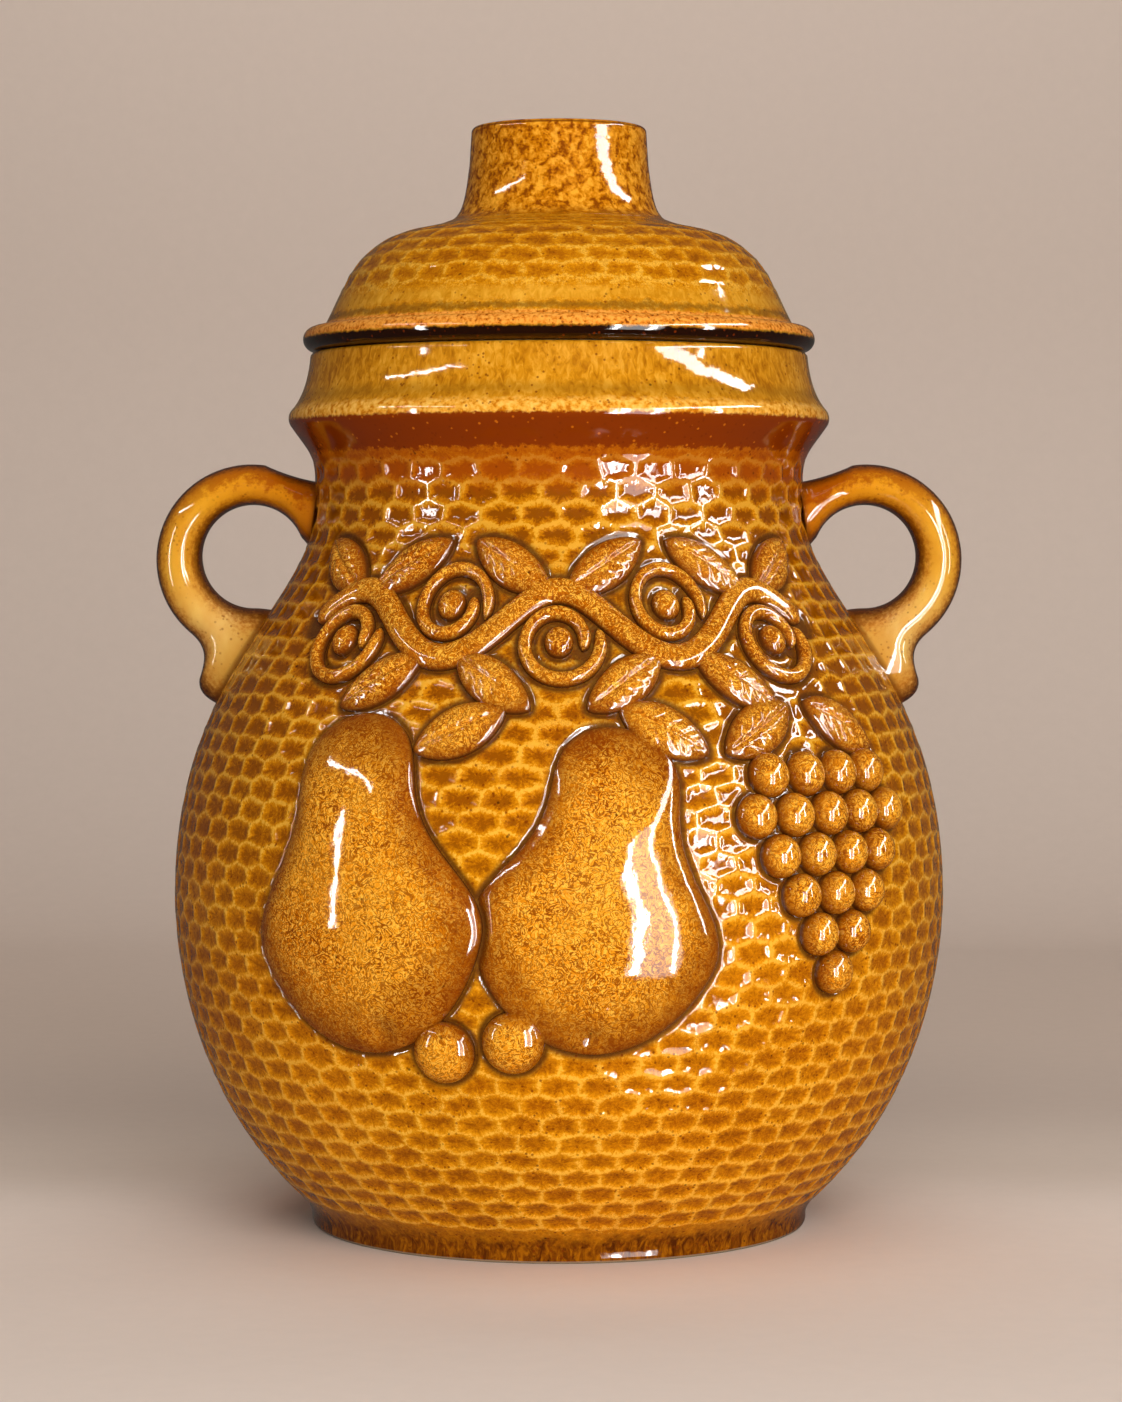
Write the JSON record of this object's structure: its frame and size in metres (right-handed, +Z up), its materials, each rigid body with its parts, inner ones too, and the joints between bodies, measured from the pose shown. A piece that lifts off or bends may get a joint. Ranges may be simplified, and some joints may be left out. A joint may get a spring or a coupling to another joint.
{
  "type": "rumtopf pot",
  "caption": "Bulbous stoneware fruit crock with a foot, collared neck, two loop handles, raised fruit and vine relief, and a lift-off domed lid with a hollow knob.",
  "frame": {"origin": "centre of the foot on the surface it stands on, on the jar's turning axis", "axes": "+Z up along the turning axis, front with the relief faces -Y, handles along X"},
  "size_m": [0.2376, 0.2309, 0.3222],
  "materials": {
    "jar_glaze": "amber honey glaze, gloss, darker in the hollows",
    "handle_glaze": "amber glaze, gloss, paler on the flanks",
    "relief_glaze": "amber glaze, gloss, finely speckled brown",
    "lid_glaze": "ochre amber glaze, gloss, dark brown at the bead",
    "bare_stoneware": "unglazed stoneware, matt"
  },
  "bodies": {
    "jar": {"jar_body": "jar_glaze", "left_handle": "handle_glaze", "right_handle": "handle_glaze", "vine_stem": "relief_glaze", "vine_foliage": "relief_glaze", "vine_tendrils": "relief_glaze", "vine_berries": "relief_glaze", "front_pear": "relief_glaze", "rear_pear": "relief_glaze", "fruit_foliage": "relief_glaze", "grape_bunch": "relief_glaze", "cherry_pair": "relief_glaze"},
    "lid": {"lid_shell": "lid_glaze", "lid_ring": "bare_stoneware", "lid_knob": "lid_glaze"}
  },
  "joints": [
    {"name": "lid_lift", "type": "slide", "parent": "jar", "child": "lid", "axis": [0, 0, 1], "range_m": [0, 0.15]}
  ]
}
